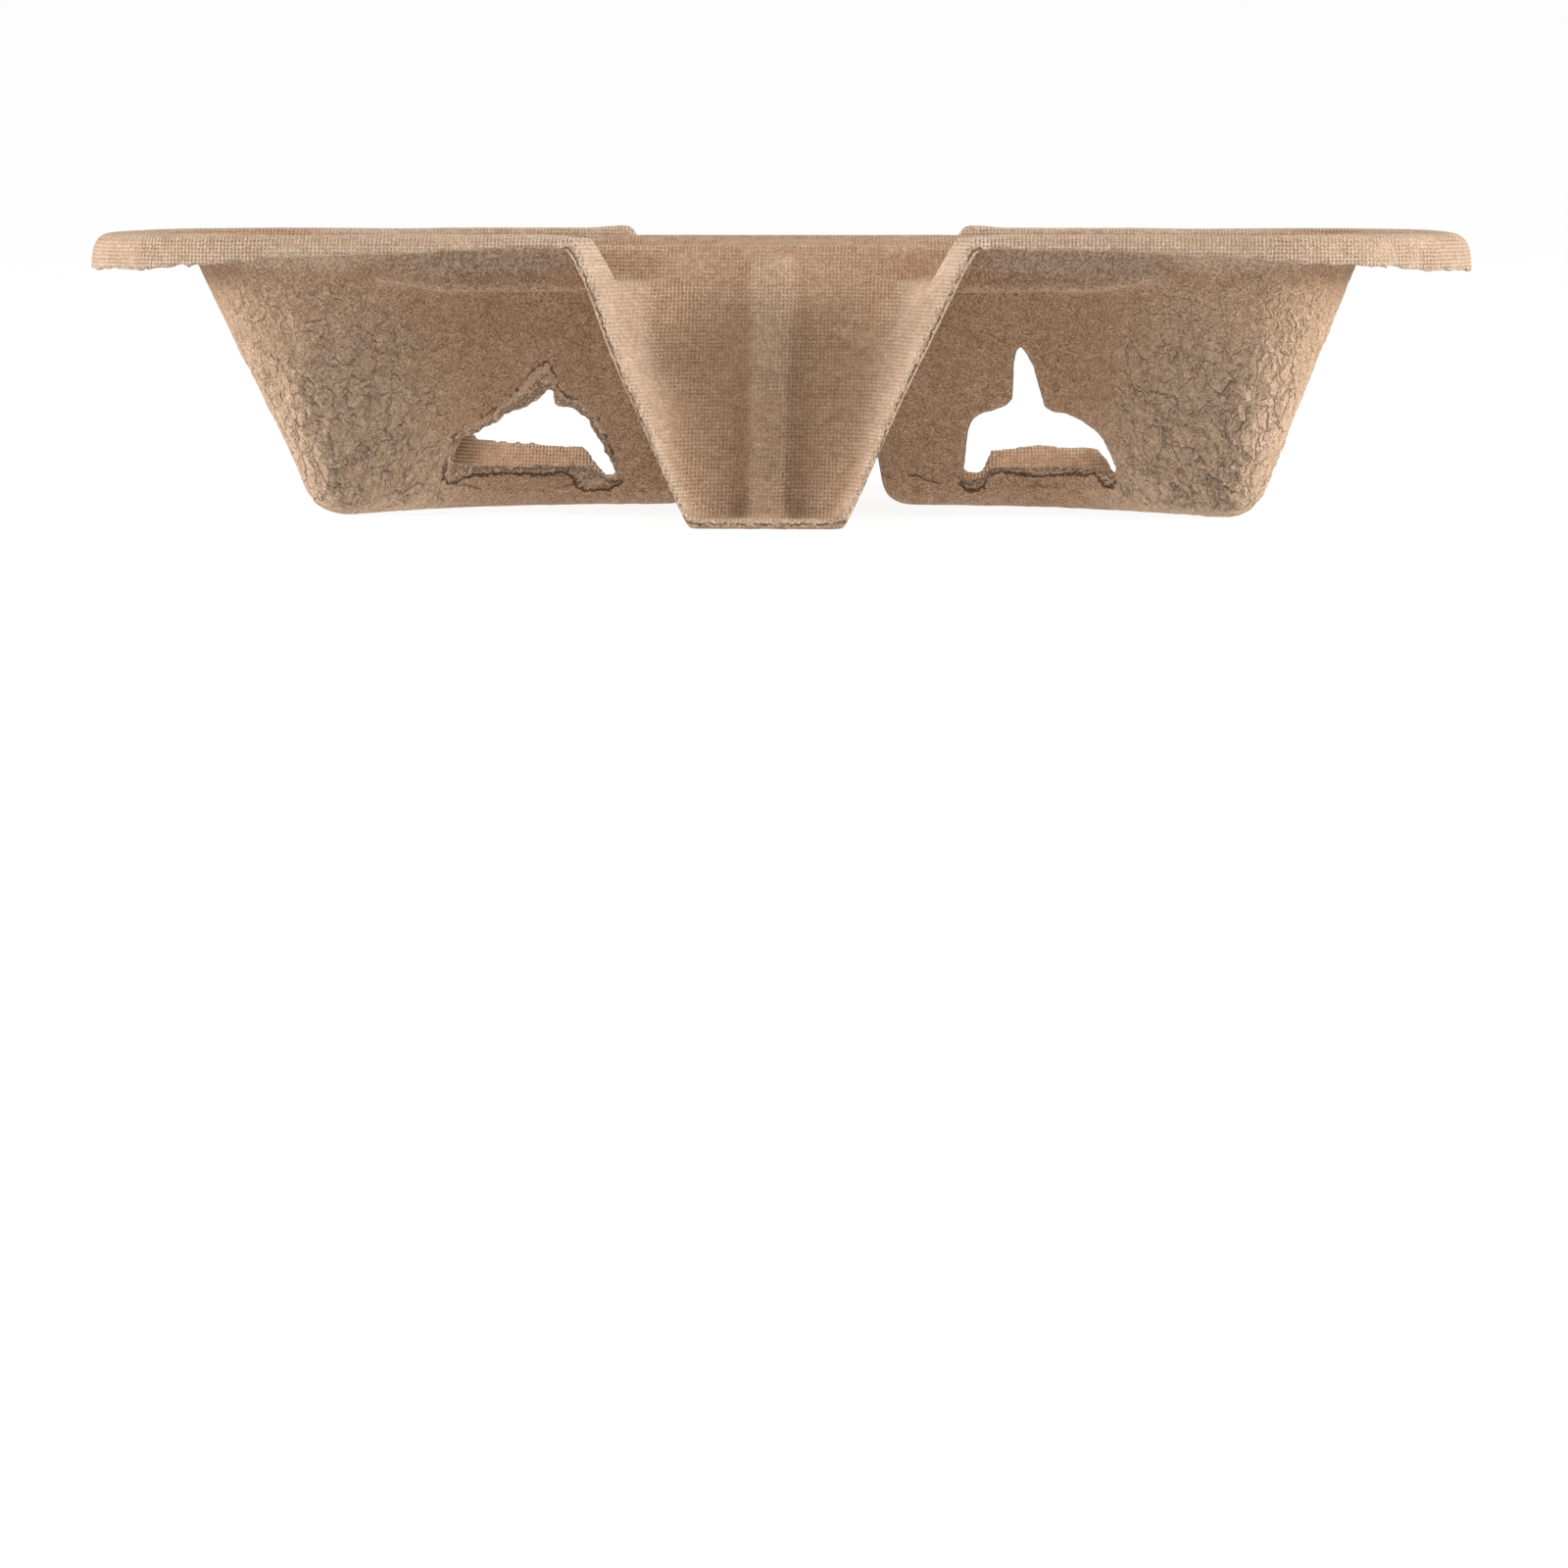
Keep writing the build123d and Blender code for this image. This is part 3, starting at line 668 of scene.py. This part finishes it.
def pulp_material():
    m = bpy.data.materials.new("pulp")
    m.use_nodes = True
    k = Nodes(m.node_tree)
    k.n.clear()
    out = k.n.new("ShaderNodeOutputMaterial")
    bsdf = k.n.new("ShaderNodeBsdfPrincipled")
    k.l.new(bsdf.outputs[0], out.inputs["Surface"])
    bsdf.inputs["Specular IOR Level"].default_value = 0.12
    bsdf.inputs["Sheen Weight"].default_value = 0.04
    bsdf.inputs["Sheen Roughness"].default_value = 0.55

    tc = k.n.new("ShaderNodeTexCoord")
    mm = k.map(tc.outputs["Object"], scale=(1000, 1000, 1000))
    felt, edge, lobe, band, depth, convex_highlight = (k.attr(a) for a in ("felt", "cut_edge", "lobe", "band", "depth", "convex_highlight"))

    slit, tear, crease_shade, ridge_highlight, crumple = (k.attr(a) for a in ("slit", "tear", "crease_shade", "ridge_highlight", "crumple"))

    # colour: clouds of tone, fine mottling with painted shade in its pits and hollows, loose fibres and specks
    cloud = k.noise(mm, 0.085, 2, 0.55)["Fac"]
    blot = k.noise(mm, 0.42, 2, 0.6)["Fac"]
    pit = k.noise(k.map(mm, scale=(3.3, 3.3, 2.6)), 1.0, 2, 0.65)["Fac"]
    lump = k.noise(mm, 0.85, 2, 0.6)["Fac"]
    base = k.mix(k.ramp(cloud, 0.3, 0.7), (0.398, 0.250, 0.153, 1), (0.452, 0.295, 0.188, 1))
    base = k.mix(k.ramp(blot, 0.32, 0.72, 0.0, 0.75), base, (0.482, 0.322, 0.210, 1))
    # mottling that is darker in the pits of the fine relief: partly tone, partly painted shade
    grain_and_pit_shade = k.mix(k.ramp(pit, 0.34, 0.65), (0.56, 0.50, 0.45, 1), (1.27, 1.29, 1.31, 1))
    # darker where the lumps of the relief dip: painted shade in the hollows
    hollow_shade = k.mix(k.ramp(lump, 0.34, 0.62), (0.90, 0.88, 0.86, 1), (1.05, 1.05, 1.06, 1))
    # lobes painted paler: painted light standing for the side light that falls on them
    base = k.mix(k.math("MULTIPLY", lobe, k.math("MULTIPLY", felt, 0.60)), base, (0.620, 0.450, 0.314, 1))
    base = k.mix(k.math("MULTIPLY", felt, k.math("SUBTRACT", 1.0, lobe)), base, (0.89, 0.86, 0.83, 1), "MULTIPLY")
    geo = k.n.new("ShaderNodeNewGeometry")
    an = k.vec("ABSOLUTE", geo.outputs["True Normal"])
    sn = k.n.new("ShaderNodeSeparateXYZ")
    k.l.new(an, sn.inputs[0])
    sm = k.n.new("ShaderNodeSeparateXYZ")
    k.l.new(k.vec("ADD", mm, k.vec("MULTIPLY", k.noise(mm, 0.35, 1)["Color"], (0.22, 0.22, 0.22))), sm.inputs[0])
    w = 2 * math.pi / 0.57

    def weave(a, b):
        p = k.math("SINE", k.math("MULTIPLY", a, w))
        q = k.math("SINE", k.math("MULTIPLY", b, w))
        return k.math("MULTIPLY", k.math("MULTIPLY_ADD", p, 0.5, 0.5), k.math("MULTIPLY_ADD", q, 0.5, 0.5))

    wx, wy, wz = (k.ramp(sn.outputs[i], 0.45, 0.7) for i in range(3))
    lines = k.math("ADD", k.math("MULTIPLY", weave(sm.outputs[0], sm.outputs[2]), wy),
                   k.math("ADD", k.math("MULTIPLY", weave(sm.outputs[1], sm.outputs[2]), wx),
                          k.math("MULTIPLY", weave(sm.outputs[0], sm.outputs[1]), wz)))
    screen = k.math("MULTIPLY", k.math("SUBTRACT", 1.0, felt), k.math("SUBTRACT", 1.0, edge))
    worn = k.math("MULTIPLY", screen, k.ramp(k.noise(mm, 0.11, 2)["Fac"], 0.30, 0.55, 0.35, 1.0))

    fibre = None
    pale = None
    turns = ((0.2, 0.1, 0.3), (1.1, 0.4, 1.3), (0.5, 1.2, 2.2), (1.9, 0.7, 0.9))
    warp = k.vec("SCALE", k.vec("SUBTRACT", k.noise(mm, 0.5, 1)["Color"], (0.5, 0.5, 0.5)))
    warp.node.inputs["Scale"].default_value = 1.3
    bent = k.vec("ADD", mm, warp)
    for i, turn in enumerate(turns):
        v = k.map(bent, rotation=turn, scale=(0.30, 3.0, 3.0), location=(3.1 * i, 1.7 * i, 0.9 * i))
        vo = k.voronoi(v, 1.0)
        sep = k.n.new("ShaderNodeSeparateColor")
        k.l.new(vo["Color"], sep.inputs[0])
        thin = k.ramp(vo["Distance"], 0.16, 0.30, 1.0, 0.0)
        dark = k.math("MULTIPLY", thin, k.ramp(sep.outputs[0], 0.86, 0.90))
        light = k.math("MULTIPLY", thin, k.ramp(sep.outputs[1], 0.80, 0.84))
        fibre = dark if fibre is None else k.math("MAXIMUM", fibre, dark)
        pale = light if pale is None else k.math("MAXIMUM", pale, light)
    amount = k.math("MULTIPLY_ADD", felt, 0.45, 0.18)
    base = k.mix(k.math("MULTIPLY", fibre, amount), base, (0.20, 0.115, 0.065, 1))
    base = k.mix(k.math("MULTIPLY", pale, 0.42), base, (0.66, 0.52, 0.40, 1))

    sp = k.voronoi(mm, 0.62)
    sep = k.n.new("ShaderNodeSeparateColor")
    k.l.new(sp["Color"], sep.inputs[0])
    speck = k.math("MULTIPLY", k.ramp(sp["Distance"], 0.10, 0.22, 1.0, 0.0), k.ramp(sep.outputs[0], 0.86, 0.88))
    base = k.mix(k.math("MULTIPLY", speck, 0.55), base, (0.16, 0.095, 0.055, 1))

    # dried hairline cracks on the lobes, with painted shade in the cracks and a painted highlight on the raised
    # wrinkles
    cw = k.vec("SCALE", k.vec("SUBTRACT", k.noise(mm, 0.32, 2)["Color"], (0.5, 0.5, 0.5)))
    cw.node.inputs["Scale"].default_value = 4.5
    cv = k.map(k.vec("ADD", mm, cw), scale=(0.26, 0.26, 0.105))
    cr = k.voronoi(cv, 1.0, "DISTANCE_TO_EDGE")["Distance"]
    where = k.noise(mm, 0.17, 1)["Fac"]
    around = k.math("MULTIPLY", k.math("MAXIMUM", crumple, k.ramp(slit, 7.5, 2.0)), felt)
    broken = k.ramp(blot, 0.47, 0.57)
    cf = k.voronoi(k.map(k.vec("ADD", mm, cw), scale=(0.46, 0.46, 0.20), location=(3.0, 7.0, 1.0)), 1.0, "DISTANCE_TO_EDGE")["Distance"]
    worked = k.math("MULTIPLY", crumple, felt)
    vein = k.math("MULTIPLY", k.ramp(cf, 0.0, 0.10, 1.0, 0.0), k.math("MULTIPLY", worked, k.ramp(lump, 0.40, 0.58)))
    crack = k.math("MULTIPLY", k.ramp(cr, 0.008, 0.026, 1.0, 0.0),
                   k.math("MULTIPLY", k.math("MULTIPLY", around, broken), k.ramp(where, 0.54, 0.62)))
    wrinkle = k.math("MULTIPLY", k.ramp(cr, 0.0, 0.085, 1.0, 0.0),
                     k.math("MULTIPLY", k.math("MULTIPLY", worked, k.ramp(blot, 0.62, 0.48, 0.40, 1.0)), k.ramp(where, 0.62, 0.50)))
    plate = k.math("MULTIPLY", k.ramp(cr, 0.0, 0.34), worked)
    # painted shade in the hairline cracks
    base = k.mix(k.math("MULTIPLY", crack, 0.40), base, (0.13, 0.068, 0.034, 1))
    # raised wrinkles and veins painted paler: painted highlight on the ridges
    base = k.mix(k.math("MULTIPLY", k.math("MAXIMUM", wrinkle, k.math("MULTIPLY", vein, 0.6)), 0.38), base, (0.66, 0.51, 0.38, 1))

    zz = k.n.new("ShaderNodeSeparateXYZ")
    k.l.new(mm, zz.inputs[0])
    # a dark line along a crease across the felt wall, at a wandering height: painted shade in the crease
    level = k.math("MULTIPLY_ADD", k.noise(mm, 0.075, 3, 0.6)["Fac"], 9.0, -0.9)
    fold_shade = k.ramp(k.math("ABSOLUTE", k.math("SUBTRACT", zz.outputs[2], level)), 0.06, 0.26, 1.0, 0.0)
    fold_shade = k.math("MULTIPLY", fold_shade, k.math("MULTIPLY", k.ramp(k.noise(mm, 0.13, 2)["Fac"], 0.50, 0.58),
                                           k.math("MULTIPLY", felt, k.ramp(sn.outputs[2], 0.75, 0.5))))
    base = k.mix(k.math("MULTIPLY", fold_shade, 0.48), base, (0.13, 0.075, 0.042, 1))
    crack = k.math("MAXIMUM", crack, fold_shade)

    # folds of the lobes: painted shade in the creases, painted highlight on the ridges
    base = k.mix(k.math("MULTIPLY", crease_shade, 0.15), base, (0.22, 0.125, 0.070, 1))
    base = k.mix(k.math("MULTIPLY", ridge_highlight, 0.30), base, (0.62, 0.47, 0.35, 1))

    # the flap's rib is painted paler, more so towards its top
    rib_pale = k.math("MULTIPLY", k.math("MULTIPLY", k.ramp(k.math("ABSOLUTE", zz.outputs[0]), 2.6, 3.9, 1.0, 0.0),
                                    k.ramp(k.math("ABSOLUTE", zz.outputs[1]), 34.0, 36.0)), k.math("MULTIPLY", screen, k.ramp(zz.outputs[2], 8.0, 30.0, 0.10, 0.34)))
    base = k.mix(rib_pale, base, (0.60, 0.450, 0.325, 1))

    ax, ay = (k.math("ABSOLUTE", zz.outputs[i]) for i in (0, 1))
    # painted shade in the hollows beside the flap's rib, darker towards the bottom
    rib_side_shade = k.math("MULTIPLY", k.math("MULTIPLY", k.ramp(ax, 2.6, 4.2), k.ramp(ax, 8.2, 4.4)), k.ramp(ay, 34.0, 37.0))
    rib_side_shade = k.math("MULTIPLY", k.math("MULTIPLY", rib_side_shade, screen), k.ramp(zz.outputs[2], 38.0, 18.0))
    base = k.mix(k.math("MULTIPLY", rib_side_shade, 0.34), base, (0.225, 0.130, 0.074, 1))
    # the flap's cheeks painted paler: painted light standing for the side light on them
    cheek = k.math("SUBTRACT", ax, k.math("MULTIPLY_ADD", zz.outputs[2], 0.22, 11.0))
    cheek = k.math("MULTIPLY", k.math("MULTIPLY", k.ramp(cheek, -2.0, 2.5), k.ramp(ax, 42.0, 34.0)), k.ramp(ay, 36.0, 41.0))
    base = k.mix(k.math("MULTIPLY", k.math("MULTIPLY", cheek, screen), 0.42), base, (0.640, 0.500, 0.382, 1))
    # edges that bulge out painted paler, less on the felt side: painted highlight
    base = k.mix(k.math("MULTIPLY", convex_highlight, k.math("MULTIPLY_ADD", felt, -0.25, 0.42)), base, (0.66, 0.515, 0.390, 1))

    # cut edges are paler and drier, and the rim's band is paler; the two plies part in places
    base = k.mix(k.math("MULTIPLY", edge, 0.40), base, (0.60, 0.445, 0.320, 1))
    base = k.mix(k.math("MULTIPLY", band, 0.46), base, (0.605, 0.470, 0.358, 1))
    shred = k.noise(mm, 1.15, 2, 0.6)["Fac"]
    ply = k.math("MULTIPLY_ADD", k.math("SUBTRACT", shred, 0.5), 0.55, depth)
    ply_gap_shade = k.math("MULTIPLY", k.ramp(ply, 0.40, 0.48), k.ramp(ply, 0.54, 0.62, 1.0, 0.0))
    ply_gap_shade = k.math("MULTIPLY", ply_gap_shade, k.ramp(lump, 0.38, 0.52))
    # dark where the two plies part: painted shade between them
    base = k.mix(k.math("MULTIPLY", ply_gap_shade, 0.75), base, (0.105, 0.058, 0.032, 1))

    # torn outer ply round the slits, with painted shade in the parting behind its edge
    ragged = k.math("MULTIPLY_ADD", k.math("SUBTRACT", shred, 0.5), 1.7, tear)
    outer = k.ramp(depth, 0.25, 0.45)
    bare = k.math("MULTIPLY", k.ramp(ragged, -0.25, 0.15, 1.0, 0.0), outer)
    base = k.mix(k.math("MULTIPLY", bare, 0.30), base, (0.56, 0.41, 0.29, 1))
    # dark line just behind the torn edge: painted shade
    split_shade = k.math("MULTIPLY", k.ramp(k.math("ABSOLUTE", ragged), 0.04, 0.30, 1.0, 0.0), outer)
    split_shade = k.math("MULTIPLY", split_shade, k.math("MULTIPLY", k.ramp(k.math("SUBTRACT", slit, tear), 0.5, 1.0),
                                             k.math("MAXIMUM", k.ramp(blot, 0.46, 0.58), k.ramp(zz.outputs[2], 8.6, 7.0))))
    base = k.mix(k.math("MULTIPLY", split_shade, 0.80), base, (0.085, 0.046, 0.026, 1))
    # how strongly the mottling and its painted pit shade darken each side
    grain_and_pit_shade_amount = k.math("MULTIPLY_ADD", worked, -0.34, k.math("MULTIPLY_ADD", screen, -0.35, 0.90))
    base = k.mix(grain_and_pit_shade_amount, base, grain_and_pit_shade, "MULTIPLY")
    base = k.mix(1.0, base, hollow_shade, "MULTIPLY")
    base = k.mix(k.math("MULTIPLY", k.ramp(lines, 0.22, 0.72), k.math("MULTIPLY", worn, 0.62)), base, (0.235, 0.142, 0.084, 1))
    k.l.new(base, bsdf.inputs["Base Color"])
    bsdf.inputs["Roughness"].default_value = 0.92

    # relief: screen imprint on the upper face, felt below
    h = k.math("MULTIPLY", lines, k.math("MULTIPLY", worn, -0.16))
    h = k.math("MULTIPLY_ADD", wrinkle, 0.66, h)
    h = k.math("MULTIPLY_ADD", vein, 0.36, h)
    h = k.math("MULTIPLY_ADD", plate, 0.30, h)
    h = k.math("MULTIPLY_ADD", lump, k.math("MULTIPLY_ADD", felt, 0.10, 0.10), h)
    h = k.math("MULTIPLY_ADD", pit, k.math("MULTIPLY_ADD", felt, 0.12, 0.12), h)
    h = k.math("MULTIPLY_ADD", ply_gap_shade, -0.30, h)
    h = k.math("MULTIPLY_ADD", split_shade, -0.50, h)
    h = k.math("MULTIPLY_ADD", crack, -0.35, h)
    bump = k.n.new("ShaderNodeBump")
    bump.inputs["Strength"].default_value = 1.0
    bump.inputs["Distance"].default_value = 0.001
    k.l.new(h, bump.inputs["Height"])
    k.l.new(bump.outputs[0], bsdf.inputs["Normal"])
    return m


body_mesh.materials.clear()
body_mesh.materials.append(pulp_material())
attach(body, "root")
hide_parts("carrier")


# ----------------------------------------------------------- floor and backdrop
def studio_floor():
    prof = [(-3.0, 0.0), (1.2, 0.0)]
    for i in range(1, 13):
        a = math.pi / 2 * i / 12
        prof.append((1.2 + 0.8 * math.sin(a), 0.8 - 0.8 * math.cos(a)))
    prof.append((2.0, 4.0))
    v, f = [], []
    for y, z in prof:
        v += [(-4.0, y, z), (4.0, y, z)]
    for i in range(len(prof) - 1):
        f.append((2 * i, 2 * i + 1, 2 * i + 3, 2 * i + 2))
    me = bpy.data.meshes.new("studio_floor")
    me.from_pydata(v, [], f)
    me.polygons.foreach_set("use_smooth", np.ones(len(me.polygons), bool))
    o = bpy.data.objects.new("studio_floor", me)
    bpy.context.scene.collection.objects.link(o)
    m = bpy.data.materials.new("floor_white")
    m.use_nodes = True
    b = m.node_tree.nodes["Principled BSDF"]
    b.inputs["Base Color"].default_value = (0.14, 0.14, 0.14, 1)
    b.inputs["Roughness"].default_value = 0.9
    b.inputs["Specular IOR Level"].default_value = 0.1
    b.inputs["Emission Color"].default_value = (1, 1, 1, 1)
    b.inputs["Emission Strength"].default_value = 0.90
    me.materials.append(m)
    return o


studio_floor()


# ---------------------------------------------------------------------- lights
def area(name, place, target, size, power):
    d = bpy.data.lights.new(name, "AREA")
    d.shape = "DISK"
    d.size = size
    d.energy = power
    o = bpy.data.objects.new(name, d)
    o.location = place
    o.rotation_euler = (Vector(target) - Vector(place)).to_track_quat("-Z", "Y").to_euler()
    bpy.context.scene.collection.objects.link(o)
    return o


area("light_left", (-0.94, -0.18, 0.24), (-0.02, 0, 0.02), 0.34, 9.4)
area("light_right", (0.94, -0.18, 0.24), (0.02, 0, 0.02), 0.34, 10.2)
area("light_top", (0.0, -0.45, 1.0), (0, 0, 0.03), 0.7, 6.5)

world = bpy.data.worlds.new("studio")
bpy.context.scene.world = world
world.use_nodes = True
world.node_tree.nodes["Background"].inputs["Color"].default_value = (1, 1, 1, 1)
world.node_tree.nodes["Background"].inputs["Strength"].default_value = 0.08
bpy.context.scene.view_settings.view_transform = "Standard"
bpy.context.scene.view_settings.look = "None"

# ---------------------------------------------------------------------- camera
cam = bpy.data.cameras.new("camera")
cam.sensor_width = 36.0
cam.sensor_fit = "HORIZONTAL"
cam.lens = 111.4
cam.clip_start = 0.01
cam.clip_end = 20.0
cam_o = bpy.data.objects.new("camera", cam)
cam_o.location = (0.0365, -0.7741, 0.0512)
cam_o.rotation_euler = (math.radians(90.0 - 7.09), 0.0, math.radians(2.7))
bpy.context.scene.collection.objects.link(cam_o)
bpy.context.scene.camera = cam_o
